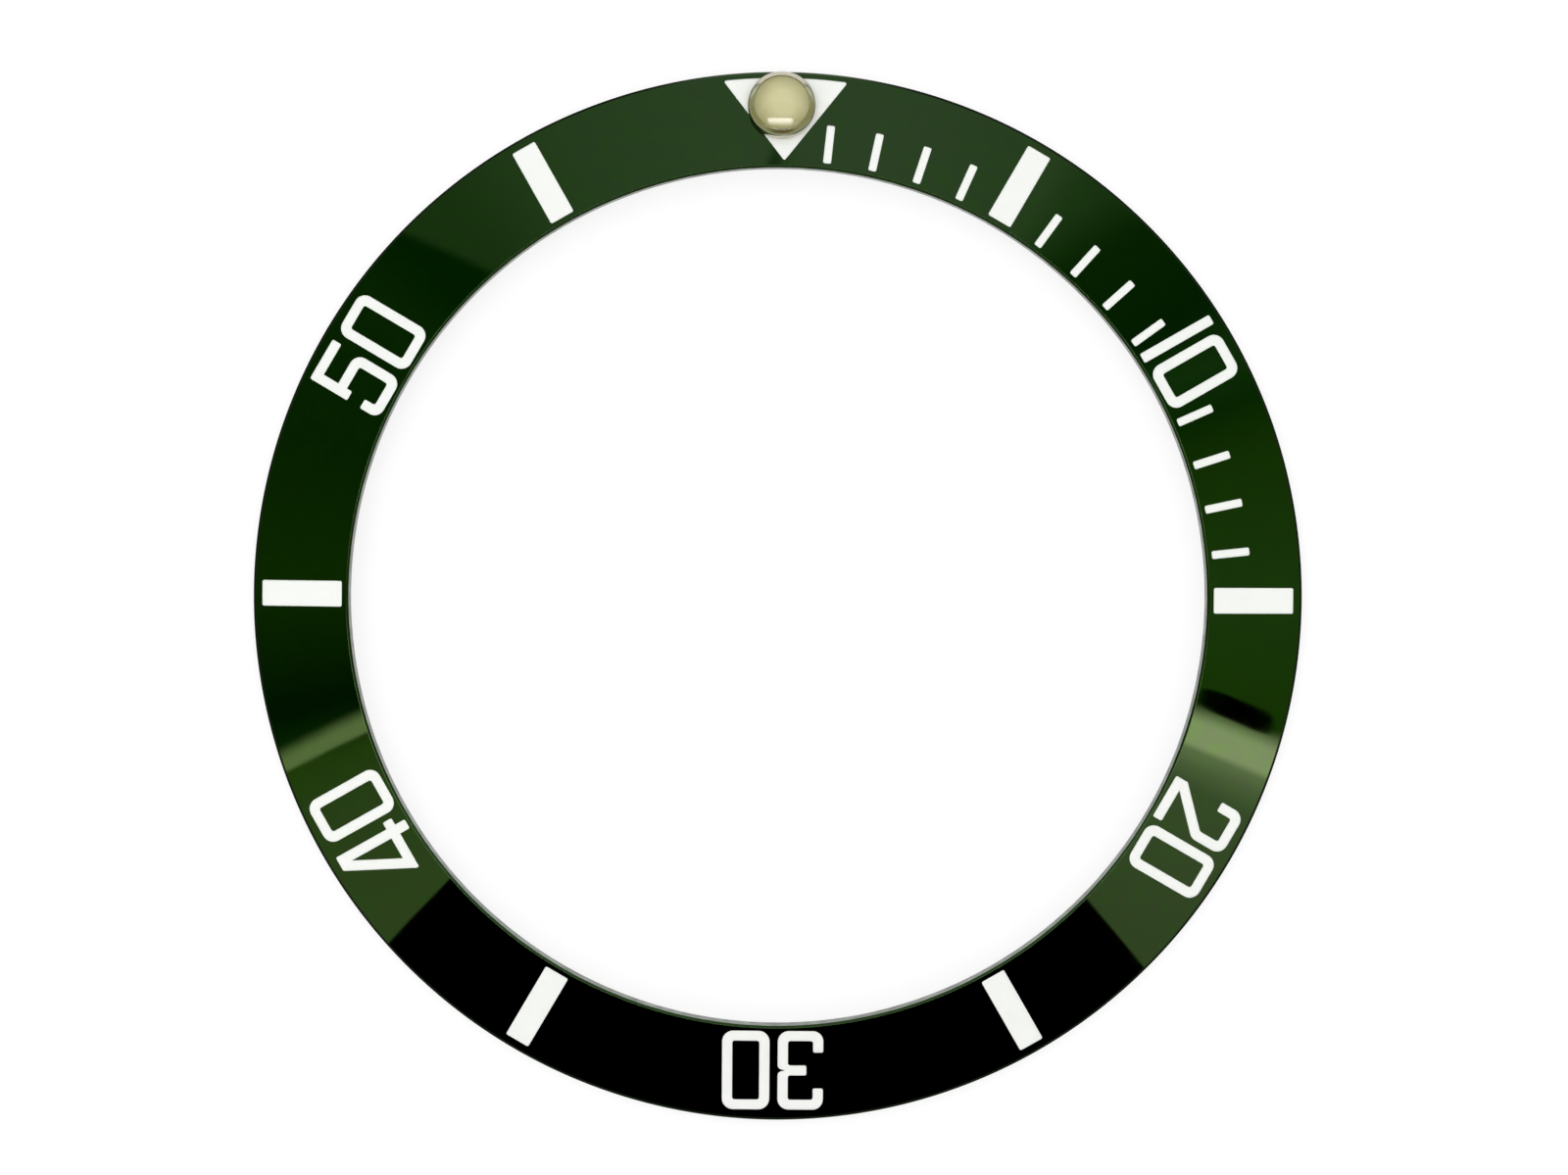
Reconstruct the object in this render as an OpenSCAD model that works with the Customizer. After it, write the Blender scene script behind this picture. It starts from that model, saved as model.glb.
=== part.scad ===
// Bezel insert of a dive watch: an anodised ring with a sloping face, engraved
// marks filled with white lacquer, and a luminous pearl pressed in at zero.
// The ring's axis is Z, its flat back lies on Z = 0 and zero points along +Y.

/* [Ring] */
// Outside diameter of the ring
outer_d = 37.5; // [34:0.1:44]
// Width of the ring from its opening to its outer edge
ring_w = 3.45; // [3.2:0.05:3.9]
// Height of the ring at its inner edge
inner_h = 1.5; // [1.2:0.05:2]
// Height of the ring at its outer edge
outer_h = 0.65; // [0.5:0.05:0.9]
// Chamfer along both edges of the sloping face
face_chamfer = 0.08; // [0.02:0.01:0.12]
// Lead-in chamfer along both edges of the back
back_chamfer = 0.12; // [0.02:0.01:0.18]

/* [Engraving] */
// Depth of the engraved marks below the face
engrave_depth = 0.12; // [0.06:0.01:0.2]
// How far the lacquer lies below the face
fill_sink = 0.02; // [0.005:0.005:0.04]
// Plain margin between the marks and the opening
inner_margin = 0.24; // [0.18:0.01:0.5]
// Plain margin between the marks and the outer edge
outer_margin = 0.32; // [0.2:0.01:0.6]
// Corner radius of the cutter at the ends of marks and strokes
tip_r = 0.06; // [0.02:0.01:0.12]

/* [Bars and ticks] */
// Width of the bars
bar_w = 0.92; // [0.5:0.02:1.4]
// Width of the minute ticks
tick_w = 0.29; // [0.15:0.01:0.45]
// Length of the minute ticks
tick_l = 1.37; // [0.8:0.02:2]

/* [Triangle] */
// Width of the zero triangle across its outer corners
triangle_w = 4.46; // [3.6:0.02:5.4]
// Plain margin between the triangle and the outer edge
triangle_margin = 0.22; // [0.15:0.01:0.5]
// Clockwise angle of the triangle from the zero line
triangle_turn = 0.4; // [-1:0.1:1]

/* [Numerals] */
// Width of the numerals' strokes
stroke = 0.37; // [0.24:0.01:0.42]
// Outer radius of the numerals' rounded corners
corner_r = 0.4; // [0.15:0.01:0.5]
// Inner radius of the numerals' rounded corners
counter_r = 0.08; // [0.02:0.01:0.15]
// Width of the figure 0
zero_w = 1.7; // [1.4:0.02:1.9]
// Width of the figure 2
two_w = 1.67; // [1.4:0.01:1.9]
// Width of the figure 3
three_w = 1.63; // [1.4:0.01:1.9]
// Width of the figure 4
four_w = 2; // [1.8:0.01:2.2]
// Width of the figure 5
five_w = 1.62; // [1.4:0.01:1.9]
// Gap between the figures of a numeral
digit_gap = 0.29; // [0.15:0.01:0.4]
// Gap after the figures 2 and 4, which are open on the right
tight_gap = 0.22; // [0.1:0.01:0.4]
// Distance of the figure 0 past its minute line
zero_shift = 0.165; // [0.05:0.005:0.3]
// How far the straight numerals sit below the curved bars
digit_drop = 0.06; // [0:0.01:0.1]
// Length of the hooks of the figures 3 and 5
hook_l = 0.79; // [0.6:0.01:0.95]
// Length of the hook of the figure 2
two_hook_l = 0.96; // [0.7:0.01:1.1]
// Height of the left foot of the figure 2
two_foot_h = 0.48; // [0.44:0.01:0.6]
// Inner radius where the figure 2 turns into its diagonal
two_elbow_r = 0.16; // [0.04:0.01:0.2]
// Length of the middle bar of the figure 3
three_bar_l = 1.03; // [0.7:0.01:1.2]
// Depth of the notch in the right side of the figure 3
three_notch = 0.26; // [0.1:0.01:0.32]
// Opening of that notch at the figure's edge
notch_gap = 0.12; // [0.04:0.01:0.2]
// Radius of the shoulders beside that notch
shoulder_r = 0.2; // [0.05:0.01:0.3]
// Distance of the stem of the figure 4 from its right end
four_arm = 0.27; // [0.15:0.01:0.4]
// Height of the crossbar of the figure 4 above its foot
four_bar_h = 0.4; // [0.3:0.01:0.6]
// Flat top of the figure 4 to the left of its stem
four_flat = 0.18; // [0.1:0.01:0.3]
// Height of the blunt left tip of the figure 4
four_toe = 0.09; // [0.05:0.01:0.15]
// Distance of the bowl of the figure 5 below its top
five_bowl_drop = 0.98; // [0.8:0.01:1.1]
// Length of the left stem of the figure 5
five_stem_l = 1.57; // [1.4:0.01:1.7]

/* [Pearl] */
// Distance of the pearl in from the outer edge
pearl_inset = 1.25; // [1.24:0.01:1.5]
// Diameter of the cup's head
head_d = 2.42; // [2.36:0.02:2.46]
// Height of the cup's rim above the face
rim_h = 0.5; // [0.36:0.01:0.7]
// Width of the flat at the top of the rim
rim_flat = 0.01; // [0.005:0.005:0.05]
// Drop of the bevel from the flat to the cup's side
rim_drop = 0.13; // [0.06:0.01:0.2]
// Radius between the bevel and the cup's side
rim_r = 0.18; // [0.04:0.01:0.2]
// Diameter of the cup's shank
shank_d = 1.9; // [1.6:0.02:2]
// Height of the shank's end above the back of the ring
shank_lift = 0.05; // [0.02:0.01:0.15]
// Wall of the shank
shank_wall = 0.15; // [0.08:0.01:0.25]
// Floor of the cup
cup_floor = 0.15; // [0.1:0.01:0.2]
// Thickness of the head where it overhangs the shank
ledge_h = 0.08; // [0.05:0.01:0.12]
// Diameter of the lens
lens_d = 2; // [1.8:0.02:2.06]
// Edge of the lens inside the cup's rim
lens_edge = 0.1; // [0.05:0.01:0.12]
// Height of the lens's dome above the rim
dome_h = 0.24; // [0.1:0.01:0.5]
// Clearance on each side of the pressed-in parts
press_gap = 0.01; // [0.005:0.005:0.03]

/* [Hidden] */
$fn = 96;

GREEN = [0.13, 0.25, 0.11];
WHITE = [0.95, 0.96, 0.94];
STEEL = [0.62, 0.6, 0.54];
CREAM = [0.82, 0.8, 0.62];
CLEAR = [0.92, 0.92, 0.8, 0.45];

BAR_MINUTES = [5, 15, 25, 35, 45, 55];
TICK_MINUTES = [1, 2, 3, 4, 6, 7, 8, 9, 11, 12, 13, 14];
TENS = [1, 2, 3, 4, 5];
MINUTE_ANGLE = 6;
STEPS_PER_MM = 22;
RIM_STEPS = 16;
CORNER_SHARE = 0.48;

outer_r = outer_d / 2;
inner_r = outer_r - ring_w;
slope = (inner_h - outer_h) / ring_w;
slope_angle = atan(slope);
over = 0.5;
join = 0.05;

mark_in = inner_r + inner_margin;
mark_out = outer_r - outer_margin;
digit_h = mark_out - mark_in;
digit_base = mark_in - digit_drop;
triangle_out = outer_r - triangle_margin;

pearl_r = outer_r - pearl_inset;
head_r = head_d / 2;
shank_r = shank_d / 2;
shank_end = (face_z(pearl_r) - shank_r * sin(slope_angle) - shank_lift) / cos(slope_angle);
pocket_r = shank_r - shank_wall;
pocket_floor = cup_floor - shank_end;
lens_r = lens_d / 2;
seat_r = lens_r + press_gap;
lens_base = rim_h - lens_edge;
dome_r = (lens_r * lens_r + dome_h * dome_h) / (2 * dome_h);

// Height of the sloping face at a given radius
function face_z(r) = inner_h - slope * (r - inner_r);

// Direction from one point to another
function toward(a, b) = (b - a) / norm(b - a);

// Steps that keep an arc smooth
function arc_steps(r) = max(3, ceil(r * STEPS_PER_MM));

// Points of an arc about a centre, from one angle through a turn
function arc(c, r, from, turn) =
  let (n = arc_steps(r))
  [for (k = [0:n]) c + r * [cos(from + turn * k / n), sin(from + turn * k / n)]];

// A corner at p between a and b, rounded as far as its sides allow
function corner(a, p, b, r) =
  let (
    u = toward(p, a),
    w = toward(p, b),
    half = acos(u * w) / 2,
    reach = min(r / tan(half), CORNER_SHARE * min(norm(a - p), norm(b - p))),
    fit_r = reach * tan(half),
    c = p + toward([0, 0], u + w) * fit_r / sin(half),
    from = p + u * reach - c,
    to = p + w * reach - c,
    turn = atan2(from.x * to.y - from.y * to.x, from * to)
  )
  r == 0 ? [p] : arc(c, fit_r, atan2(from.y, from.x), turn);

// The points of an outline whose corners are given as x, y and radius
function rounded(list) =
  let (n = len(list), flat = [for (q = list) [q.x, q.y]])
  [for (i = [0:n - 1])
    each corner(flat[(i + n - 1) % n], flat[i], flat[(i + 1) % n], list[i][2])];

module outline(list) {
  polygon(rounded(list));
}

// A two-digit label with a leading zero
function label(name, m) = str(name, m < 10 ? "0" : "", m);

// Bars, ticks and the triangle are drawn with the radius along +Y

module radial_mark(w, from, to) {
  outline([[-w / 2, from, tip_r], [w / 2, from, tip_r], [w / 2, to, tip_r], [-w / 2, to, tip_r]]);
}

module bar_shape() {
  radial_mark(bar_w, mark_in, mark_out);
}

module tick_shape() {
  radial_mark(tick_w, mark_in, mark_in + tick_l);
}

module triangle_shape() {
  half = asin(triangle_w / 2 / triangle_out);
  top = [for (k = [0:RIM_STEPS])
    let (a = half * (1 - 2 * k / RIM_STEPS), is_end = k == 0 || k == RIM_STEPS)
    [triangle_out * sin(a), triangle_out * cos(a), is_end ? tip_r : 0]];
  outline(concat([[0, mark_in, tip_r]], top));
}

// The figures stand on y = 0 with their left edge at x = 0

module zero_shape() {
  difference() {
    outline([
      [0, 0, corner_r], [zero_w, 0, corner_r],
      [zero_w, digit_h, corner_r], [0, digit_h, corner_r]
    ]);
    outline([
      [stroke, stroke, counter_r], [zero_w - stroke, stroke, counter_r],
      [zero_w - stroke, digit_h - stroke, counter_r], [stroke, digit_h - stroke, counter_r]
    ]);
  }
}

module one_shape() {
  outline([[0, 0, tip_r], [stroke, 0, tip_r], [stroke, digit_h, tip_r], [0, digit_h, tip_r]]);
}

module two_shape() {
  drop = stroke * sqrt(2);
  outline([
    [0, 0, tip_r], [two_w, 0, tip_r], [two_w, stroke, tip_r],
    [stroke - two_foot_h + drop, stroke, 0],
    [two_w, two_w + two_foot_h - drop, corner_r],
    [two_w, digit_h, corner_r], [0, digit_h, corner_r],
    [0, digit_h - two_hook_l, tip_r], [stroke, digit_h - two_hook_l, tip_r],
    [stroke, digit_h - stroke, counter_r], [two_w - stroke, digit_h - stroke, counter_r],
    [two_w - stroke, two_w - stroke + two_foot_h, two_elbow_r],
    [0, two_foot_h, tip_r]
  ]);
}

module three_shape() {
  middle = digit_h / 2;
  shoulder = notch_gap / 2;
  right = three_w - stroke;
  outline([
    [0, 0, corner_r], [three_w, 0, corner_r],
    [three_w, middle - shoulder, shoulder_r], [three_w - three_notch, middle, 0],
    [three_w, middle + shoulder, shoulder_r],
    [three_w, digit_h, corner_r], [0, digit_h, corner_r],
    [0, digit_h - hook_l, tip_r], [stroke, digit_h - hook_l, tip_r],
    [stroke, digit_h - stroke, counter_r], [right, digit_h - stroke, counter_r],
    [right, middle + stroke / 2, counter_r], [three_w - three_bar_l, middle + stroke / 2, tip_r],
    [three_w - three_bar_l, middle - stroke / 2, tip_r], [right, middle - stroke / 2, counter_r],
    [right, stroke, counter_r], [stroke, stroke, counter_r],
    [stroke, hook_l, tip_r], [0, hook_l, tip_r]
  ]);
}

module four_shape() {
  stem_r = four_w - four_arm;
  stem_l = stem_r - stroke;
  bar_top = four_bar_h + stroke;
  toe = [0, four_bar_h + four_toe];
  crown = [stem_l - four_flat, digit_h];
  along = toward(toe, crown);
  inside = toe + stroke * [along.y, -along.x];
  rise = along.y / along.x;
  difference() {
    outline([
      [stem_l, 0, tip_r], [stem_r, 0, tip_r], [stem_r, four_bar_h, 0],
      [four_w, four_bar_h, tip_r], [four_w, bar_top, tip_r], [stem_r, bar_top, 0],
      [stem_r, digit_h, tip_r], [crown.x, crown.y, tip_r],
      [toe.x, toe.y, tip_r], [0, four_bar_h, tip_r], [stem_l, four_bar_h, 0]
    ]);
    polygon([
      [inside.x + (bar_top - inside.y) / rise, bar_top],
      [stem_l, bar_top],
      [stem_l, inside.y + (stem_l - inside.x) * rise]
    ]);
  }
}

module five_shape() {
  bowl = digit_h - five_bowl_drop;
  outline([
    [0, 0, corner_r], [five_w, 0, corner_r],
    [five_w, bowl, corner_r], [stroke, bowl, 0],
    [stroke, digit_h - stroke, 0], [five_w, digit_h - stroke, tip_r],
    [five_w, digit_h, tip_r], [0, digit_h, tip_r],
    [0, digit_h - five_stem_l, tip_r], [stroke, digit_h - five_stem_l, tip_r],
    [stroke, bowl - stroke, 0], [five_w - stroke, bowl - stroke, counter_r],
    [five_w - stroke, stroke, counter_r], [stroke, stroke, counter_r],
    [stroke, hook_l, tip_r], [0, hook_l, tip_r]
  ]);
}

module tens_shape(t) {
  if (t == 1) one_shape();
  if (t == 2) two_shape();
  if (t == 3) three_shape();
  if (t == 4) four_shape();
  if (t == 5) five_shape();
}

// Width of each tens figure, and where the figures of a numeral start

function tens_w(t) = [0, stroke, two_w, three_w, four_w, five_w][t];
function gap_after(t) = t == 2 || t == 4 ? tight_gap : digit_gap;
function zero_left(t) = t == 1 ? (tens_w(t) + gap_after(t) - zero_w) / 2 : zero_shift;
function tens_left(t) = zero_left(t) - gap_after(t) - tens_w(t);

// Every mark turned to its minute

module at_minute(m) {
  rotate(-MINUTE_ANGLE * m) children();
}

module placed_triangle() {
  rotate(-triangle_turn) triangle_shape();
}

module placed_bar(m) {
  at_minute(m) bar_shape();
}

module placed_tick(m) {
  at_minute(m) tick_shape();
}

module placed_tens(t) {
  at_minute(10 * t) translate([tens_left(t), digit_base]) tens_shape(t);
}

module placed_zero(t) {
  at_minute(10 * t) translate([zero_left(t), digit_base]) zero_shape();
}

// A layer of the ring between two depths below its sloping face

module face_layer(top, bottom) {
  rotate_extrude()
    polygon([
      [inner_r, face_z(inner_r) - bottom], [outer_r, face_z(outer_r) - bottom],
      [outer_r, face_z(outer_r) - top], [inner_r, face_z(inner_r) - top]
    ]);
}

module engraved() {
  intersection() {
    face_layer(-over, engrave_depth);
    linear_extrude(inner_h + over) children();
  }
}

module lacquer() {
  intersection() {
    face_layer(fill_sink, engrave_depth);
    linear_extrude(inner_h + over) children();
  }
}

// The pearl stands square to the sloping face

module at_pearl() {
  translate([0, pearl_r, face_z(pearl_r)]) rotate([-slope_angle, 0, 0]) children();
}

module pearl_hole() {
  at_pearl() translate([0, 0, -inner_h - over])
    cylinder(r = shank_r + press_gap, h = inner_h + over + rim_h);
}

module insert_ring() {
  face_drop = face_chamfer * slope;
  color(GREEN) difference() {
    rotate_extrude()
      polygon([
        [inner_r + back_chamfer, 0], [outer_r - back_chamfer, 0],
        [outer_r, back_chamfer], [outer_r, outer_h - face_chamfer],
        [outer_r - face_chamfer, outer_h + face_drop],
        [inner_r + face_chamfer, inner_h - face_drop],
        [inner_r, inner_h - face_chamfer], [inner_r, back_chamfer]
      ]);
    engraved() placed_triangle();
    for (m = BAR_MINUTES) engraved() placed_bar(m);
    for (m = TICK_MINUTES) engraved() placed_tick(m);
    for (t = TENS) engraved() placed_tens(t);
    for (t = TENS) engraved() placed_zero(t);
    pearl_hole();
  }
}

module zero_triangle() {
  color(WHITE) difference() {
    lacquer() placed_triangle();
    pearl_hole();
  }
}

module bar(m) {
  color(WHITE) lacquer() placed_bar(m);
}

module tick(m) {
  color(WHITE) lacquer() placed_tick(m);
}

module tens(t) {
  color(WHITE) lacquer() placed_tens(t);
}

module zero(t) {
  color(WHITE) lacquer() placed_zero(t);
}

module pearl_cup() {
  color(STEEL) at_pearl() difference() {
    union() {
      translate([0, 0, -shank_end]) cylinder(r = shank_r, h = shank_end + join);
      rotate_extrude()
        outline([
          [0, 0, 0], [head_r, 0, 0], [head_r, rim_h - rim_drop, rim_r],
          [seat_r + rim_flat, rim_h, 0], [0, rim_h, 0]
        ]);
    }
    translate([0, 0, pocket_floor]) cylinder(r = pocket_r, h = rim_h - pocket_floor);
    translate([0, 0, ledge_h]) cylinder(r = seat_r, h = rim_h - ledge_h + over);
  }
}

module pearl_lume() {
  color(CREAM) at_pearl() {
    translate([0, 0, pocket_floor])
      cylinder(r = pocket_r - press_gap, h = lens_base - pocket_floor);
    translate([0, 0, ledge_h]) cylinder(r = lens_r, h = lens_base - ledge_h);
  }
}

module pearl_lens() {
  color(CLEAR) at_pearl() intersection() {
    translate([0, 0, lens_base]) cylinder(r = lens_r, h = lens_edge + dome_h + over);
    translate([0, 0, rim_h + dome_h - dome_r]) sphere(r = dome_r);
  }
}

insert_ring();
zero_triangle();
for (m = BAR_MINUTES) bar(m);
for (m = TICK_MINUTES) tick(m);
for (t = TENS) tens(t);
for (t = TENS) zero(t);
pearl_cup();
pearl_lume();
pearl_lens();
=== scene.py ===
import math

import bmesh
import bpy
from mathutils import Matrix, Vector


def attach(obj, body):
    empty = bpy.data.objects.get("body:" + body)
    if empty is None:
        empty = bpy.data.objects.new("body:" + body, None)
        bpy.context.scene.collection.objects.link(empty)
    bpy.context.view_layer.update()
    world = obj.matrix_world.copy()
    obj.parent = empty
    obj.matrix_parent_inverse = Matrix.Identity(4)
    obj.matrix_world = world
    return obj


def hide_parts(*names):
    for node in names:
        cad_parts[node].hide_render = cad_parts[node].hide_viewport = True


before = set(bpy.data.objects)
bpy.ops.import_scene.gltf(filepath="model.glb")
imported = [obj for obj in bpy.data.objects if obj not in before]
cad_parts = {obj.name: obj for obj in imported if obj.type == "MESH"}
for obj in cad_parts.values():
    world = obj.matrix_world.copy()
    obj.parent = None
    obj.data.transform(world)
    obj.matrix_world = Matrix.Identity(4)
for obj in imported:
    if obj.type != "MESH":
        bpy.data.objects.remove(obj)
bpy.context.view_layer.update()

# The lacquer fills, which stay as the CAD has them
FILLS = [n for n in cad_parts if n.startswith(("zero_", "bar_", "tick_", "tens_"))]

# Sizes of the solids, in millimetres, as the CAD source has them

MM = 0.001
OUTER_R = 18.75
INNER_R = 15.3
INNER_H = 1.5
OUTER_H = 0.65
FACE_CHAMFER = 0.08
BACK_CHAMFER = 0.12
ENGRAVE_DEPTH = 0.12
FILL_SINK = 0.02
PEARL_R = 17.5
HEAD_R = 1.21
RIM_H = 0.5
RIM_FLAT = 0.01
RIM_DROP = 0.13
RIM_R = 0.18
SHANK_R = 0.95
SHANK_LIFT = 0.05
SHANK_WALL = 0.15
CUP_FLOOR = 0.15
LEDGE_H = 0.08
LENS_R = 1.0
LENS_EDGE = 0.1
DOME_H = 0.24
PRESS_GAP = 0.01

SLOPE = (INNER_H - OUTER_H) / (OUTER_R - INNER_R)
SLOPE_ANGLE = math.atan(SLOPE)

# Sizes that the scene adds, in millimetres: radii that break edges, the film between the
# lume and the lens, and how far the cutters reach past what they cut

EDGE_BREAK = 0.02
SHANK_BREAK = 0.04
LIP_BREAK = 0.01
LENS_FILM = 0.002
FILL_REACH = 0.1
HOLE_TOP = 1.0
HOLE_DEPTH = 2 * INNER_H

# Fineness of the turned meshes, and the share of a side that a rounded corner may take

RING_STEPS = 720
PEARL_STEPS = 160
EDGE_STEPS = 4
CUP_EDGE_STEPS = 8
DOME_STEPS = 24
CORNER_SHARE = 0.8

# The radius that counts as none and the width of a sliver, in millimetres, and the
# distance that welds two points, in metres

ON_AXIS = 1e-9
SLIVER = 0.0001
WELD = 1e-8

# The angle that makes an edge sharp, how closely a face has to look one way to belong to
# the cone, the back or a wall, and the least rise of a polished face's normal

SMOOTH_ANGLE = math.radians(30)
SAME_WAY = math.cos(math.radians(1.5))
POLISHED_RISE = 0.2


def face_z(r):
    """Height of the sloping face, in millimetres, at a radius."""
    return INNER_H - SLOPE * (r - INNER_R)


# Meshes


def rounded(points, steps):
    """A closed profile whose corners, given as radius, height and fillet, are rounded."""
    done = []
    n = len(points)
    for i, (r, z, fillet) in enumerate(points):
        p = Vector((r, z))
        if fillet <= 0:
            done.append((r, z))
            continue
        a = Vector(points[i - 1][:2]) - p
        b = Vector(points[(i + 1) % n][:2]) - p
        u, w = a.normalized(), b.normalized()
        half = math.acos(max(-1.0, min(1.0, u.dot(w)))) / 2
        reach = min(fillet / math.tan(half), CORNER_SHARE * min(a.length, b.length))
        fit = reach * math.tan(half)
        centre = p + (u + w).normalized() * (fit / math.sin(half))
        start, end = p + u * reach - centre, p + w * reach - centre
        turn = math.atan2(start.x * end.y - start.y * end.x, start.dot(end))
        first = math.atan2(start.y, start.x)
        for k in range(steps + 1):
            angle = first + turn * k / steps
            done.append((centre.x + fit * math.cos(angle), centre.y + fit * math.sin(angle)))
    return done


def as_mesh(name, bm):
    """A new mesh of what was built."""
    mesh = bpy.data.meshes.new(name)
    bm.to_mesh(mesh)
    bm.free()
    return mesh


def lathe(name, profile, steps, closed):
    """A mesh turned about Z from a profile in millimetres. An open one starts and ends on Z."""
    bm = bmesh.new()
    rings = []
    for r, z in profile:
        if r < ON_AXIS:
            rings.append([bm.verts.new((0, 0, z * MM))])
            continue
        rings.append([
            bm.verts.new((r * math.sin(t) * MM, r * math.cos(t) * MM, z * MM))
            for t in (2 * math.pi * k / steps for k in range(steps))
        ])
    pairs = list(zip(rings, rings[1:]))
    if closed:
        pairs.append((rings[-1], rings[0]))
    for a, b in pairs:
        for k in range(steps):
            j = (k + 1) % steps
            if len(a) == 1:
                bm.faces.new((a[0], b[k], b[j]))
            elif len(b) == 1:
                bm.faces.new((a[k], b[0], a[j]))
            else:
                bm.faces.new((a[k], b[k], b[j], a[j]))
    bmesh.ops.recalc_face_normals(bm, faces=bm.faces)
    return as_mesh(name, bm)


def add_object(name, data):
    obj = bpy.data.objects.new(name, data)
    bpy.context.scene.collection.objects.link(obj)
    return obj


def smooth(mesh):
    """Smooth shading that stays sharp where faces meet at more than an angle."""
    mesh.shade_smooth()
    mesh.set_sharp_from_angle(angle=SMOOTH_ANGLE)


def true_normals(mesh):
    """Gives the ring's face, back and walls the normals of a true cone, plane and cylinder."""
    cone = (math.sin(SLOPE_ANGLE), math.cos(SLOPE_ANGLE))
    back, outer_wall, inner_wall = (0, -1), (1, 0), (-1, 0)
    normals = [(0, 0, 0)] * len(mesh.loops)
    for polygon in mesh.polygons:
        middle = polygon.center
        out = Vector((middle.x, middle.y, 0)).normalized()
        for radial, axial in (cone, back, outer_wall, inner_wall):
            if polygon.normal.dot(out * radial + Vector((0, 0, axial))) < SAME_WAY:
                continue
            for loop in polygon.loop_indices:
                p = mesh.vertices[mesh.loops[loop].vertex_index].co
                way = Vector((p.x, p.y, 0)).normalized() * radial
                normals[loop] = (way.x, way.y, axial)
    mesh.normals_split_custom_set(normals)


def pearl_matrix():
    """From the pearl's own axis to its seat, square to the sloping face."""
    seat = Vector((0, PEARL_R, face_z(PEARL_R))) * MM
    return Matrix.Translation(seat) @ Matrix.Rotation(-SLOPE_ANGLE, 4, "X")


def pearl_piece(name, profile, node):
    """A turned piece of the pearl in place of its CAD node."""
    mesh = lathe(name, profile, PEARL_STEPS, closed=False)
    mesh.transform(pearl_matrix())
    smooth(mesh)
    obj = add_object(name, mesh)
    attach(obj, "root")
    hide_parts(node)
    return obj


def make_cutters():
    """One mesh that holds the engraver's cut for every lacquer fill."""
    bm = bmesh.new()
    for name in FILLS:
        start = len(bm.verts)
        bm.from_mesh(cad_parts[name].data)
        bm.verts.ensure_lookup_table()
        for v in bm.verts[start:]:
            top_of_face = face_z(math.hypot(v.co.x, v.co.y) / MM)
            middle = top_of_face - (FILL_SINK + ENGRAVE_DEPTH) / 2
            if v.co.z / MM > middle:
                v.co.z += FILL_REACH * MM
    bmesh.ops.remove_doubles(bm, verts=bm.verts, dist=WELD)
    return as_mesh("cutters", bm)


def make_hole():
    """The hole that the pearl's shank is pressed through."""
    r = SHANK_R + PRESS_GAP
    profile = [(0, -HOLE_DEPTH), (r, -HOLE_DEPTH), (r, HOLE_TOP), (0, HOLE_TOP)]
    hole = lathe("hole", profile, PEARL_STEPS, closed=False)
    hole.transform(pearl_matrix())
    return hole


def cut(obj, cutter_mesh):
    """Takes a cutter out of an object's mesh, exactly."""
    cutter = add_object("cutter", cutter_mesh)
    mod = obj.modifiers.new("cut", "BOOLEAN")
    mod.operation = "DIFFERENCE"
    mod.solver = "EXACT"
    mod.object = cutter
    graph = bpy.context.evaluated_depsgraph_get()
    mesh = bpy.data.meshes.new_from_object(obj.evaluated_get(graph))
    obj.modifiers.remove(mod)
    old = obj.data
    obj.data = mesh
    bpy.data.meshes.remove(old)
    bpy.data.objects.remove(cutter)
    bpy.data.meshes.remove(cutter_mesh)


def islands(bm):
    """The mesh's faces in groups that hang together."""
    left = set(bm.faces)
    groups = []
    while left:
        front = [left.pop()]
        group = []
        while front:
            face = front.pop()
            group.append(face)
            near = {other for side in face.edges for other in side.link_faces} & left
            left -= near
            front.extend(near)
        groups.append(group)
    return groups


def clean_cuts(mesh):
    """Triangles throughout, without the slivers and the loose chip that the cuts leave."""
    bm = bmesh.new()
    bm.from_mesh(mesh)
    bmesh.ops.triangulate(bm, faces=bm.faces)
    bmesh.ops.dissolve_degenerate(bm, dist=SLIVER * MM, edges=bm.edges)
    bmesh.ops.triangulate(bm, faces=bm.faces)
    for chip in sorted(islands(bm), key=len)[:-1]:
        bmesh.ops.delete(bm, geom=chip, context="FACES")
    bm.to_mesh(mesh)
    bm.free()


def make_ring():
    """The ring, turned finely, then engraved and drilled."""
    drop = FACE_CHAMFER * SLOPE
    corners = [
        (INNER_R + BACK_CHAMFER, 0), (OUTER_R - BACK_CHAMFER, 0),
        (OUTER_R, BACK_CHAMFER), (OUTER_R, OUTER_H - FACE_CHAMFER),
        (OUTER_R - FACE_CHAMFER, OUTER_H + drop), (INNER_R + FACE_CHAMFER, INNER_H - drop),
        (INNER_R, INNER_H - FACE_CHAMFER), (INNER_R, BACK_CHAMFER),
    ]
    profile = rounded([(r, z, EDGE_BREAK) for r, z in corners], EDGE_STEPS)
    mesh = lathe("insert_ring_fine", profile, RING_STEPS, closed=True)
    obj = add_object("insert_ring_fine", mesh)
    cut(obj, make_cutters())
    cut(obj, make_hole())
    clean_cuts(obj.data)
    smooth(obj.data)
    true_normals(obj.data)
    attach(obj, "root")
    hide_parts("insert_ring")
    return obj


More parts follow.
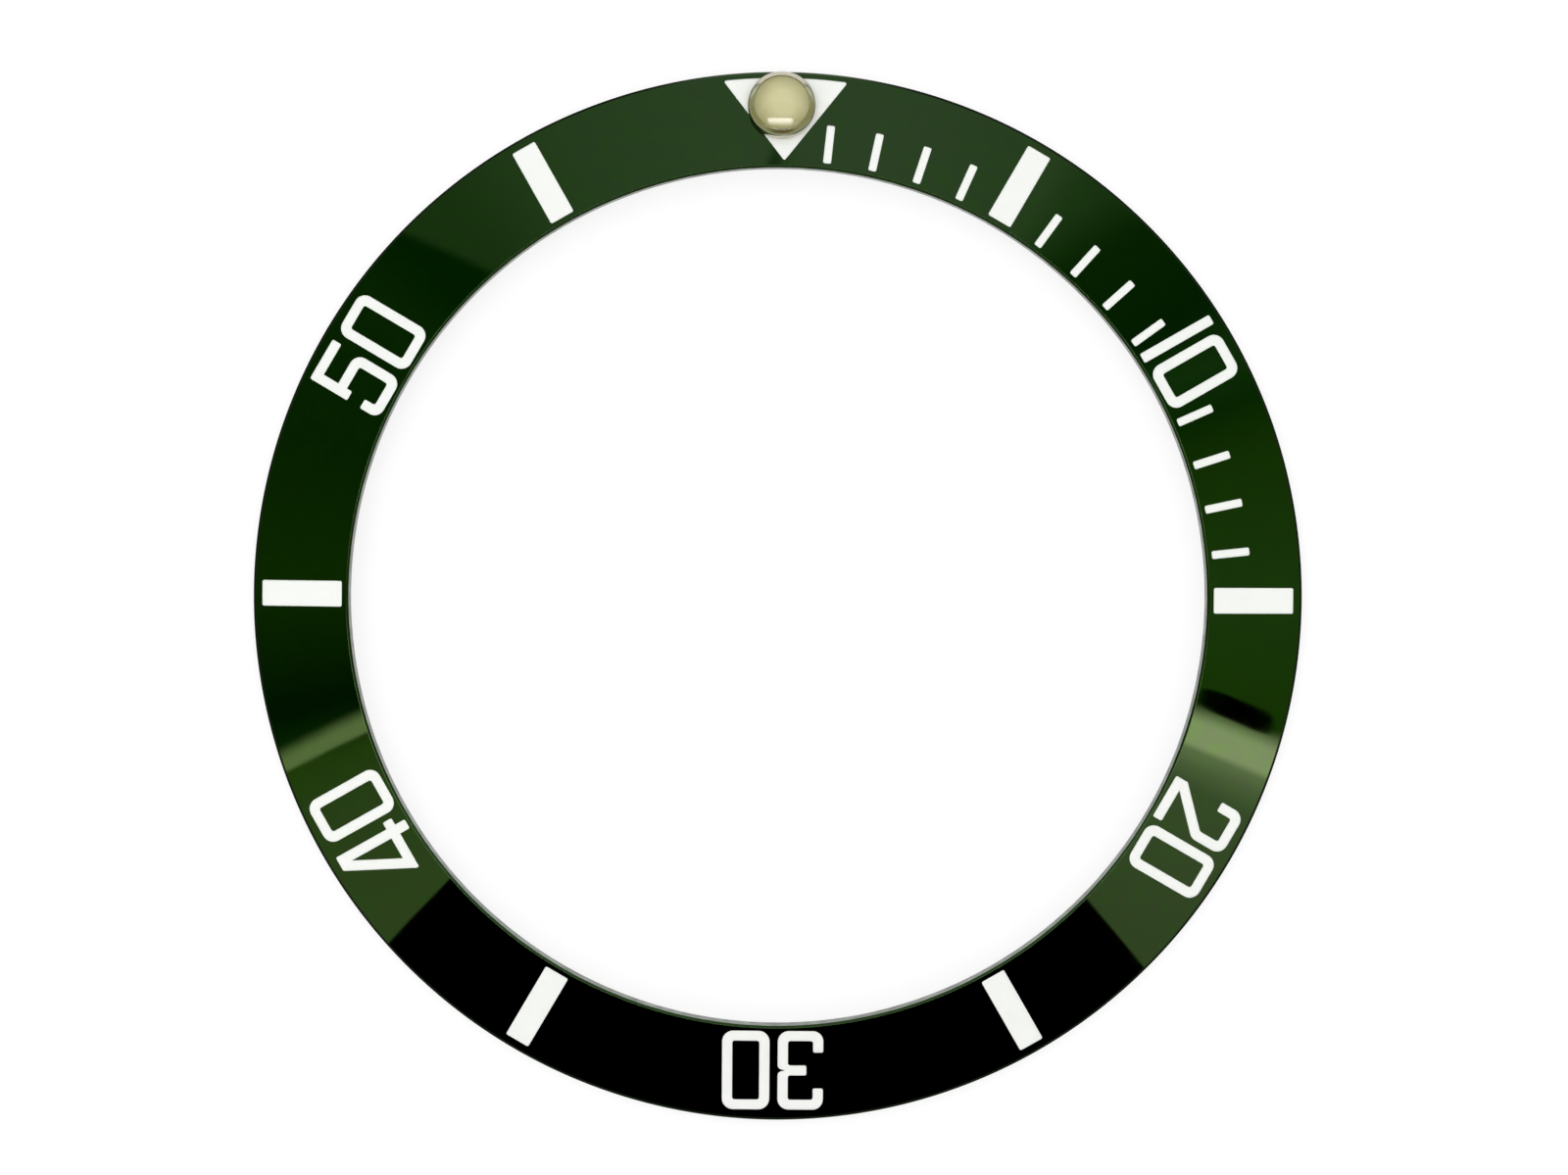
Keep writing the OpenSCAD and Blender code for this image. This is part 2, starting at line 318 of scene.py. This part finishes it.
def make_pearl():
    """The cup, the lume and the lens, each turned finely."""
    seat_z = face_z(PEARL_R)
    shank_drop = seat_z - SHANK_R * math.sin(SLOPE_ANGLE) - SHANK_LIFT
    shank_end = shank_drop / math.cos(SLOPE_ANGLE)
    floor = CUP_FLOOR - shank_end
    pocket = SHANK_R - SHANK_WALL
    seat_r = LENS_R + PRESS_GAP
    lens_base = RIM_H - LENS_EDGE
    cup = rounded([
        (0, -shank_end, 0), (SHANK_R, -shank_end, SHANK_BREAK), (SHANK_R, 0, 0),
        (HEAD_R, 0, EDGE_BREAK), (HEAD_R, RIM_H - RIM_DROP, RIM_R),
        (seat_r + RIM_FLAT, RIM_H, LIP_BREAK), (seat_r, RIM_H, 0),
        (seat_r, LEDGE_H, 0), (pocket, LEDGE_H, 0), (pocket, floor, 0), (0, floor, 0),
    ], CUP_EDGE_STEPS)
    lume = [
        (0, floor), (pocket - PRESS_GAP, floor), (pocket - PRESS_GAP, LEDGE_H),
        (LENS_R, LEDGE_H), (LENS_R, lens_base), (0, lens_base),
    ]
    dome_r = (LENS_R ** 2 + DOME_H ** 2) / (2 * DOME_H)
    half = math.asin(LENS_R / dome_r)
    centre_z = RIM_H + DOME_H - dome_r
    dome = []
    for k in range(DOME_STEPS):
        angle = half * (1 - k / DOME_STEPS)
        dome.append((dome_r * math.sin(angle), centre_z + dome_r * math.cos(angle)))
    dome.append((0, RIM_H + DOME_H))
    lens = [(0, lens_base + LENS_FILM), (LENS_R, lens_base + LENS_FILM)] + dome
    return (
        pearl_piece("pearl_cup_fine", cup, "pearl_cup"),
        pearl_piece("pearl_lume_fine", lume, "pearl_lume"),
        pearl_piece("pearl_lens_fine", lens, "pearl_lens"),
    )


# Node trees

# The span that a noise texture mostly fills, between 0 and 1
NOISE_SPAN = (0.3, 0.7)


class Tree:
    """A short way to write a node tree."""

    def __init__(self, tree):
        self.tree = tree
        tree.nodes.clear()

    def add(self, kind, **values):
        node = self.tree.nodes.new(kind)
        for key, value in values.items():
            setattr(node, key, value)
        return node

    def put(self, socket, value):
        if isinstance(value, bpy.types.NodeSocket):
            self.tree.links.new(value, socket)
        elif isinstance(value, tuple) and len(value) == 3 and len(socket.default_value) == 4:
            socket.default_value = (*value, 1)
        else:
            socket.default_value = value

    def calc(self, operation, a, b=None):
        node = self.add("ShaderNodeMath", operation=operation)
        for socket, value in zip(node.inputs, (a, b)):
            if value is not None:
                self.put(socket, value)
        return node.outputs[0]

    def length(self, x, y):
        squares = self.calc("MULTIPLY", x, x), self.calc("MULTIPLY", y, y)
        return self.calc("SQRT", self.calc("ADD", *squares))

    def split(self, vector):
        node = self.add("ShaderNodeSeparateXYZ")
        self.put(node.inputs[0], vector)
        return node.outputs

    def mix(self, factor, a, b):
        node = self.add("ShaderNodeMix", data_type="RGBA")
        self.put(node.inputs["Factor"], factor)
        self.put(node.inputs[6], a)
        self.put(node.inputs[7], b)
        return node.outputs[2]

    def ramp_to(self, value, low, high, to_low=0.0, to_high=1.0):
        node = self.add("ShaderNodeMapRange", interpolation_type="SMOOTHSTEP")
        for key, v in (("Value", value), ("From Min", low), ("From Max", high),
                       ("To Min", to_low), ("To Max", to_high)):
            self.put(node.inputs[key], v)
        return node.outputs[0]

    def noise(self, vector, scale, detail):
        node = self.add("ShaderNodeTexNoise")
        self.put(node.inputs["Vector"], vector)
        node.inputs["Scale"].default_value = scale
        node.inputs["Detail"].default_value = detail
        return node.outputs["Fac"]

    def wander(self, noise, low, high):
        """A value that wanders between two limits as a noise does."""
        return self.ramp_to(noise, *NOISE_SPAN, low, high)

    def blend(self, a, b, share):
        """Two values in one, of which the second has a share."""
        parts = self.calc("MULTIPLY", a, 1 - share), self.calc("MULTIPLY", b, share)
        return self.calc("ADD", *parts)

    def bump(self, height, strength, distance):
        node = self.add("ShaderNodeBump")
        node.inputs["Strength"].default_value = strength
        node.inputs["Distance"].default_value = distance
        self.put(node.inputs["Height"], height)
        return node.outputs[0]

    def place(self):
        """The point on the piece, in metres."""
        return self.add("ShaderNodeTexCoord").outputs["Object"]

    def principled(self, **inputs):
        shader = self.add("ShaderNodeBsdfPrincipled")
        for key, value in inputs.items():
            self.put(shader.inputs[key.replace("_", " ")], value)
        return shader.outputs[0]

    def output(self, kind, shader):
        """Wires a shader to the tree's output."""
        self.put(self.add(kind).inputs[0], shader)


def material(name, build):
    """A material whose build function gets its node tree and returns its shader."""
    mat = bpy.data.materials.new(name)
    mat.use_nodes = True
    t = Tree(mat.node_tree)
    t.output("ShaderNodeOutputMaterial", build(t))
    return mat


# Materials

GREEN_DEEP = (0.0105, 0.033, 0.0042)
GREEN_PALE = (0.0135, 0.039, 0.0062)
GREEN_TURNED = (0.03, 0.07, 0.02)
TURNED_SHARE = 0.9
TURNING_FEED = 0.06 * MM
WHITE_LOW = (0.85, 0.87, 0.83)
WHITE_HIGH = (0.9, 0.91, 0.885)
STEEL_LOW = (0.5, 0.46, 0.36)
STEEL_HIGH = (0.62, 0.58, 0.48)
CREAM_LOW = (0.545, 0.515, 0.3)
CREAM_HIGH = (0.655, 0.625, 0.375)
# Painted shade and painted shadow of the lume, not its own colour
CREAM_PAINTED_SHADE = (0.335, 0.315, 0.14)
CREAM_PAINTED_GAP_SHADOW = (0.15, 0.14, 0.033)
LENS_TINT = (0.98, 0.97, 0.9)

# Where painted shade darkens the lume towards its edge, and where a painted shadow darkens it
# at the gap by the rim, in millimetres from the pearl's axis
PAINTED_SHADE_SPAN = (0.3, 1.1)
GAP_SHADOW_SPAN = (0.94, 0.99)


def anodised_face(t):
    """Polished aluminium under a clear green oxide."""
    p = t.place()
    cloud = t.noise(p, scale=260, detail=3)
    grain = t.noise(p, scale=9000, detail=2)
    colour = t.mix(t.blend(cloud, grain, share=0.3), GREEN_DEEP, GREEN_PALE)
    rough = t.wander(t.noise(p, scale=1800, detail=3), low=0.012, high=0.025)
    skin = t.bump(t.noise(p, scale=700, detail=1), strength=0.02, distance=0.01 * MM)
    return t.principled(Base_Color=colour, Metallic=1.0, Roughness=rough, Normal=skin,
                        Coat_Weight=0.35, Coat_Roughness=0.02, Coat_IOR=1.5)


def anodised_turned(t):
    """The back and the walls, turned and dyed but not polished."""
    p = t.place()
    x, y, z = t.split(p)
    path = t.calc("ADD", t.length(x, y), z)
    feed = t.calc("SINE", t.calc("MULTIPLY", path, 2 * math.pi / TURNING_FEED))
    uneven = t.noise(p, scale=600, detail=3)
    colour = t.mix(t.calc("MULTIPLY", uneven, TURNED_SHARE), GREEN_DEEP, GREEN_TURNED)
    rough = t.wander(t.noise(p, scale=2500, detail=3), low=0.26, high=0.4)
    lines = t.bump(t.calc("MULTIPLY", feed, uneven), strength=0.25, distance=0.003 * MM)
    return t.principled(Base_Color=colour, Metallic=1.0, Roughness=rough, Normal=lines)


def lacquer(t):
    """White lacquer wiped into the engraving."""
    p = t.place()
    colour = t.mix(t.noise(p, scale=1500, detail=4), WHITE_LOW, WHITE_HIGH)
    rough = t.wander(t.noise(p, scale=3000, detail=2), low=0.3, high=0.45)
    skin = t.bump(t.noise(p, scale=2200, detail=2), strength=0.15, distance=0.004 * MM)
    return t.principled(Base_Color=colour, Roughness=rough, Normal=skin)


def from_pearl_axis(t, p):
    """Distance from the pearl's own axis, in millimetres."""
    x, y, z = t.split(p)
    beyond = t.calc("SUBTRACT", y, PEARL_R * MM)
    above = t.calc("SUBTRACT", z, face_z(PEARL_R) * MM)
    along = t.calc("MULTIPLY", beyond, math.cos(SLOPE_ANGLE) / MM)
    down = t.calc("MULTIPLY", above, math.sin(SLOPE_ANGLE) / MM)
    return t.length(t.calc("DIVIDE", x, MM), t.calc("SUBTRACT", along, down))


def turned_steel(t):
    """The pearl's cup, turned and polished."""
    p = t.place()
    colour = t.mix(t.noise(p, scale=4000, detail=3), STEEL_LOW, STEEL_HIGH)
    rough = t.wander(t.noise(p, scale=6000, detail=2), low=0.1, high=0.2)
    skin = t.bump(t.noise(p, scale=9000, detail=2), strength=0.1, distance=0.003 * MM)
    return t.principled(Base_Color=colour, Metallic=1.0, Roughness=rough, Normal=skin)


def lume_powder(t):
    """Luminous compound, a fine powder in a cream binder, with painted shade towards its edge
    and a painted shadow at the rim.
    """
    p = t.place()
    cloud = t.noise(p, scale=2600, detail=3)
    grain = t.noise(p, scale=16000, detail=2)
    colour = t.mix(t.blend(cloud, grain, share=0.4), CREAM_LOW, CREAM_HIGH)
    r = from_pearl_axis(t, p)
    # Painted shade: the lume darkens towards its edge
    colour = t.mix(t.ramp_to(r, *PAINTED_SHADE_SPAN), colour, CREAM_PAINTED_SHADE)
    # Painted shadow: a dark ring where the lume meets the cup's rim
    colour = t.mix(t.ramp_to(r, *GAP_SHADOW_SPAN), colour, CREAM_PAINTED_GAP_SHADOW)
    rough = t.wander(grain, low=0.55, high=0.75)
    skin = t.bump(grain, strength=0.3, distance=0.01 * MM)
    return t.principled(Base_Color=colour, Roughness=rough, Normal=skin)


def clear_lens(t):
    """Clear dome. Rays from the lamps pass straight through it."""
    rough = t.wander(t.noise(t.place(), scale=4000, detail=2), low=0.015, high=0.05)
    glass = t.principled(Base_Color=LENS_TINT, IOR=1.46, Transmission_Weight=1.0,
                         Roughness=rough)
    both = t.add("ShaderNodeMixShader")
    t.put(both.inputs[0], t.add("ShaderNodeLightPath").outputs["Is Shadow Ray"])
    t.put(both.inputs[1], glass)
    t.put(both.inputs[2], t.add("ShaderNodeBsdfTransparent").outputs[0])
    return both.outputs[0]


def dress(obj, mat):
    obj.data.materials.clear()
    obj.data.materials.append(mat)


# Studio

# Light that polished faces see in the room: minutes round the clock, and a colour at each
ROOM = [
    (0.0, (0.2, 0.5, 0.15)),
    (6.9, (0.09, 0.31, 0.03)),
    (9.5, (0.04, 0.22, 0.01)),
    (10.5, (0.2, 0.5, 0.15)),
    (11.5, (0.09, 0.34, 0.02)),
    (12.5, (0.24, 0.55, 0.06)),
    (15.4, (0.38, 0.72, 0.2)),
    (18.1, (0.28, 0.62, 0.04)),
    (18.6, (4.2, 3.4, 3.2)),
    (19.0, (2.5, 2.1, 2.0)),
    (19.4, (1.4, 1.35, 1.1)),
    (22.4, (1.12, 1.1, 0.82)),
    (38.1, (0.95, 1.05, 0.58)),
    (40.2, (0.8, 0.95, 0.45)),
    (41.3, (0.5, 0.78, 0.15)),
    (41.7, (0.06, 0.27, 0.01)),
    (42.3, (0.01, 0.11, 0.01)),
    (44.8, (0.15, 0.38, 0.02)),
    (47.6, (0.08, 0.28, 0.01)),
    (50.7, (0.09, 0.3, 0.03)),
    (51.9, (0.02, 0.22, 0.01)),
]

# The same for the bright ceiling, whose minutes are counted from the bottom of the clock
CEILING = [
    (23.1, (0.35, 0.6, 0.25)),
    (25.4, (0.7, 0.9, 0.62)),
    (28.2, (0.9, 1.03, 0.85)),
    (32.3, (0.97, 1.04, 0.97)),
    (35.6, (0.75, 0.94, 0.65)),
    (36.2, (0.42, 0.7, 0.35)),
    (37.0, (0.32, 0.6, 0.26)),
]

# The room is drawn on the sky's plane, where a direction lies at its x and y divided by its
# z. The bright ceiling begins at two lines, each two points and its softness, which give
# way to one another within a seam about x = 0.
CEILING_LEFT = ((-0.4597, 0.4119), (-0.4075, 0.4326), 0.003)
CEILING_RIGHT = ((0.3765, 0.458), (0.4226, 0.4474), 0.02)
CEILING_SEAM = 0.03

# Shapes on the sky's plane, each as its corners, anticlockwise, the softness of the side
# after each corner, and its light. Two windows show as streaks on the ring's sides, the dark
# gap shows as its black lower end, and the lamp stands overhead.
BLACK = (0.0, 0.0, 0.0)
RIGHT_WINDOW = (
    [(0.5964, -0.1836), (0.5825, -0.2302), (0.6048, -0.246), (0.6179, -0.2046)],
    (0.0015, 0.006, 0.003, 0.014),
    (7.8, 5.6, 6.2),
)
LEFT_WINDOW = (
    [(-0.5852, -0.222), (-0.5932, -0.1949), (-0.6102, -0.2305), (-0.6035, -0.2502)],
    (0.002, 0.008, 0.003, 0.0025),
    (3.3, 2.85, 2.15),
)
DARK_GAP = (
    [(0.431, -0.4), (-0.456, -0.4), (-0.77, -1.3), (0.699, -1.3)],
    (0.03, 0.0015, 0.1, 0.0015),
    BLACK,
)
OVERHEAD_LAMP = (
    [(-0.52, -0.045), (-0.52, -0.23), (0.38, -0.23), (0.38, -0.045)],
    (0.07, 0.11, 0.07, 0.025),
    (13.0, 13.0, 12.5),
)

# The dark blot before the right window: its centre, its two half axes and its softness
BLOT = ((0.6107, -0.1729), (0.0069, -0.0105), (-0.0034, -0.0147), 0.4)
BLOT_POWER = 4.0

# Light on both sides of the band of directions that the ring's face mirrors in the
# photograph's view: overhead, towards six o'clock, at the sides, and far off or ahead. A
# span is where one light gives way to the next, by its distance from the plane's centre, or
# by y where its name says so. AHEAD_SPAN is by y less AHEAD_STEEP times x, either way.
OVERHEAD_LIGHT = (0.4, 0.45, 0.33)
BAND_START = (0.48, 0.55)
BAND_END = (0.71, 0.78)
SIX_NEAR = (0.2, 0.17, 0.07)
SIX_FAR = (0.4, 0.46, 0.3)
SIX_SPAN = (0.95, 1.15)
SIDE_LIGHT = (0.375, 0.375, 0.17)
SIDE_Y_SPAN = (-0.8, -0.6)
FAR_LIGHT = (0.75, 0.86, 0.7)
FAR_SPAN = (5.0, 9.0)
AHEAD_STEEP = 0.9
AHEAD_SPAN = (-1.1, -0.7)
AHEAD_Y_SPAN = (-0.45, -0.2)

# The least upward part of a direction, which keeps the plane finite, and the even light of
# all other rays
LEAST_UP = 0.02
EVEN_LIGHT = (0.87, 0.87, 0.87)
BACKGROUND = (1.0, 1.0, 1.0)


def levels(t, turn, stops):
    """The light round the clock, from stops given as minutes and colours."""
    ramp = t.add("ShaderNodeValToRGB")
    elements = ramp.color_ramp.elements
    elements.remove(elements[1])
    elements[0].position = stops[0][0] / 60
    elements[0].color = (*stops[0][1], 1)
    for minute, colour in stops[1:]:
        elements.new(minute / 60).color = (*colour, 1)
    t.put(ramp.inputs[0], turn)
    return ramp.outputs[0]


def edge(t, x, y, p, q, soft):
    """1 on the left of the line from p to q, on the sky's plane, and 0 on its right."""
    dx, dy = q[0] - p[0], q[1] - p[1]
    size = math.hypot(dx, dy)
    side = t.calc("ADD", t.calc("MULTIPLY", x, -dy / size), t.calc("MULTIPLY", y, dx / size))
    at = (p[1] * dx - p[0] * dy) / size
    return t.ramp_to(side, at - soft, at + soft)


def with_shape(t, x, y, light, shape):
    """The light with a shape in front of it."""
    corners, softness, colour = shape
    inside = 1.0
    for p, q, soft in zip(corners, corners[1:] + corners[:1], softness):
        inside = t.calc("MULTIPLY", inside, edge(t, x, y, p, q, soft))
    return t.mix(inside, light, colour)


def with_blot(t, x, y, light):
    """The light with the dark blot in front of it, a rounded shape between oval and oblong."""
    centre, along, across, soft = BLOT
    size = along[0] * across[1] - along[1] * across[0]
    dx = t.calc("SUBTRACT", x, centre[0])
    dy = t.calc("SUBTRACT", y, centre[1])
    powers = []
    for to_x, to_y in ((across[1], -across[0]), (-along[1], along[0])):
        part = t.calc("ADD", t.calc("MULTIPLY", dx, to_x / size),
                      t.calc("MULTIPLY", dy, to_y / size))
        powers.append(t.calc("POWER", t.calc("ABSOLUTE", part), BLOT_POWER))
    inside = t.ramp_to(t.calc("ADD", *powers), 1 - soft, 1 + soft, 1.0, 0.0)
    return t.mix(inside, light, BLACK)


def room_light(t):
    """What glossy rays meet, by their direction."""
    dx, dy, dz = t.split(t.add("ShaderNodeTexCoord").outputs["Generated"])
    up = t.calc("MAXIMUM", dz, LEAST_UP)
    x = t.calc("DIVIDE", dx, up)
    y = t.calc("DIVIDE", dy, up)
    tilt = t.length(x, y)
    turn = t.calc("FRACT", t.calc("DIVIDE", t.calc("ARCTAN2", x, y), 2 * math.pi))

    left_part = edge(t, x, y, *CEILING_LEFT)
    right_part = edge(t, x, y, *CEILING_RIGHT)
    half = t.ramp_to(x, -CEILING_SEAM, CEILING_SEAM)
    bright = t.calc("ADD", t.calc("MULTIPLY", left_part, t.calc("SUBTRACT", 1.0, half)),
                    t.calc("MULTIPLY", right_part, half))
    half_turned = t.calc("FRACT", t.calc("ADD", turn, 0.5))
    band = t.mix(bright, levels(t, turn, ROOM), levels(t, half_turned, CEILING))
    band = with_shape(t, x, y, band, RIGHT_WINDOW)
    band = with_shape(t, x, y, band, LEFT_WINDOW)
    band = with_blot(t, x, y, band)
    band = with_shape(t, x, y, band, DARK_GAP)

    overhead = with_shape(t, x, y, OVERHEAD_LIGHT, OVERHEAD_LAMP)
    towards_six = t.mix(t.ramp_to(tilt, *SIX_SPAN), SIX_NEAR, SIX_FAR)
    beyond = t.mix(t.ramp_to(y, *SIDE_Y_SPAN), towards_six, SIDE_LIGHT)
    wedge = t.calc("SUBTRACT", y, t.calc("MULTIPLY", t.calc("ABSOLUTE", x), AHEAD_STEEP))
    ahead = t.calc("MINIMUM", t.ramp_to(wedge, *AHEAD_SPAN), t.ramp_to(y, *AHEAD_Y_SPAN))
    far = t.calc("MAXIMUM", ahead, t.ramp_to(tilt, *FAR_SPAN))
    beyond = t.mix(far, beyond, FAR_LIGHT)
    light = t.mix(t.ramp_to(tilt, *BAND_START), overhead, band)
    return t.mix(t.ramp_to(tilt, *BAND_END), light, beyond)


def make_world():
    """A white background for the camera, even light for the surfaces, and a room for gloss."""
    world = bpy.data.worlds.new("studio")
    bpy.context.scene.world = world
    world.use_nodes = True
    t = Tree(world.node_tree)
    path = t.add("ShaderNodeLightPath").outputs
    seen = t.mix(path["Is Camera Ray"], EVEN_LIGHT, BACKGROUND)
    seen = t.mix(path["Is Glossy Ray"], seen, room_light(t))
    seen = t.mix(path["Is Transmission Ray"], seen, EVEN_LIGHT)
    back = t.add("ShaderNodeBackground")
    t.put(back.inputs[0], seen)
    t.output("ShaderNodeOutputWorld", back.outputs[0])


# The floor, in metres. In gloss it is pale in the ring's opening and in a wedge that opens
# towards twelve o'clock, from its start on Y between its steep sides, and darkened by painted
# shade elsewhere.
FLOOR_REACH = 2.0
FLOOR_CELLS = 8
FLOOR_DROP = 0.02 * MM
PAPER_LOW = (0.3, 0.3, 0.3)
PAPER_HIGH = (0.32, 0.32, 0.32)
# Painted shade that glossy rays see on the paper
PAPER_PAINTED_SHADE = (0.04, 0.04, 0.04)
PAPER_GLOW = 0.74
PAINTED_SHADE_SHARE = 0.85
WEDGE_START = 0.0147
WEDGE_STEEP = 1.43
WEDGE_SPAN = (-0.002, 0.004)
OPENING_SPAN = (0.0153, 0.016)


def paper(t):
    """Pale paper that keeps its shadow, raised to white where it is looked at, and darkened by
    painted shade in gloss outside the opening and the wedge.
    """
    p = t.place()
    x, y = t.split(p)[:2]
    path = t.add("ShaderNodeLightPath").outputs
    side = t.calc("MULTIPLY", t.calc("ABSOLUTE", x), WEDGE_STEEP)
    wedge = t.calc("SUBTRACT", t.calc("SUBTRACT", y, WEDGE_START), side)
    opening = t.ramp_to(t.length(x, y), *OPENING_SPAN, 1.0, 0.0)
    pale = t.calc("MAXIMUM", t.ramp_to(wedge, *WEDGE_SPAN), opening)
    # Painted shade: outside the opening and the wedge, glossy rays see the paper dimmed
    painted_shade = t.calc("MULTIPLY", path["Is Glossy Ray"], t.calc("SUBTRACT", 1.0, pale))
    tone = t.mix(t.noise(p, scale=900, detail=3), PAPER_LOW, PAPER_HIGH)
    sheet = t.add("ShaderNodeBsdfDiffuse")
    t.put(sheet.inputs[0], t.mix(painted_shade, tone, PAPER_PAINTED_SHADE))
    looks = t.calc("MAXIMUM", path["Is Glossy Ray"], path["Is Transmission Ray"])
    looks = t.calc("MAXIMUM", path["Is Camera Ray"], looks)
    share = t.calc("SUBTRACT", 1.0, t.calc("MULTIPLY", painted_shade, PAINTED_SHADE_SHARE))
    glow = t.add("ShaderNodeEmission")
    strength = t.calc("MULTIPLY", t.calc("MULTIPLY", looks, share), PAPER_GLOW)
    t.put(glow.inputs["Strength"], strength)
    both = t.add("ShaderNodeAddShader")
    t.put(both.inputs[0], sheet.outputs[0])
    t.put(both.inputs[1], glow.outputs[0])
    return both.outputs[0]


def make_floor():
    bm = bmesh.new()
    bmesh.ops.create_grid(bm, x_segments=FLOOR_CELLS, y_segments=FLOOR_CELLS, size=FLOOR_REACH)
    floor = add_object("floor", as_mesh("floor", bm))
    floor.location.z = -FLOOR_DROP
    floor.data.materials.append(material("paper", paper))


# Lamps, in metres and watts: name, place, what it points at, size and power
LAMPS = [
    ("strip", (0, 0, 0.3), (0, 0.0175, 0), (0.27, 0.012), 0.1),
    ("soft", (-0.12, 0.2, 0.4), (0, 0, 0), (0.4, 0.4), 0.3),
]


def make_lamps():
    """Area lamps that light the surfaces but don't show in gloss."""
    for name, place, aim, size, power in LAMPS:
        data = bpy.data.lights.new(name, "AREA")
        data.shape = "RECTANGLE"
        data.size, data.size_y = size
        data.energy = power
        lamp = add_object(name, data)
        lamp.location = place
        way = Vector(aim) - Vector(place)
        lamp.rotation_euler = way.to_track_quat("-Z", "Y").to_euler()
        lamp.visible_glossy = False


# The camera's place, what it points at, its sensor and its lens, in millimetres, its turn
# about its own axis, in radians, and the nearest and farthest that it sees, in metres
CAMERA_PLACE = (0, 5, 220)
CAMERA_AIM = (0.2185, 0.335, 0.7)
SENSOR_WIDTH = 36
FOCAL_LENGTH = 140.84
CAMERA_ROLL = 0.00804
SIGHT = (0.01, 20)


def make_camera():
    """The photograph's view, from above and a little towards twelve o'clock."""
    place = Vector(CAMERA_PLACE) * MM
    ahead = (Vector(CAMERA_AIM) * MM - place).normalized()
    right = ahead.cross(Vector((0, 1, 0))).normalized()
    above = right.cross(ahead)
    across = right * math.cos(CAMERA_ROLL) + above * math.sin(CAMERA_ROLL)
    upward = above * math.cos(CAMERA_ROLL) - right * math.sin(CAMERA_ROLL)
    data = bpy.data.cameras.new("camera")
    data.sensor_width = SENSOR_WIDTH
    data.lens = FOCAL_LENGTH
    data.clip_start, data.clip_end = SIGHT
    camera = add_object("camera", data)
    axes = Matrix((across, upward, -ahead)).transposed()
    camera.matrix_world = Matrix.Translation(place) @ axes.to_4x4()
    bpy.context.scene.camera = camera


# The scene

ring = make_ring()
dress(ring, material("anodised_face", anodised_face))
ring.data.materials.append(material("anodised_turned", anodised_turned))
for polygon in ring.data.polygons:
    if polygon.normal.z < POLISHED_RISE:
        polygon.material_index = 1

pearl_cup, pearl_lume, pearl_lens = make_pearl()
dress(pearl_cup, material("pearl_steel", turned_steel))
dress(pearl_lume, material("pearl_lume", lume_powder))
dress(pearl_lens, material("pearl_lens", clear_lens))

white = material("white_lacquer", lacquer)
for name in FILLS:
    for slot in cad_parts[name].material_slots:
        slot.material = white

make_world()
make_floor()
make_lamps()
make_camera()
bpy.context.scene.view_settings.view_transform = "Standard"
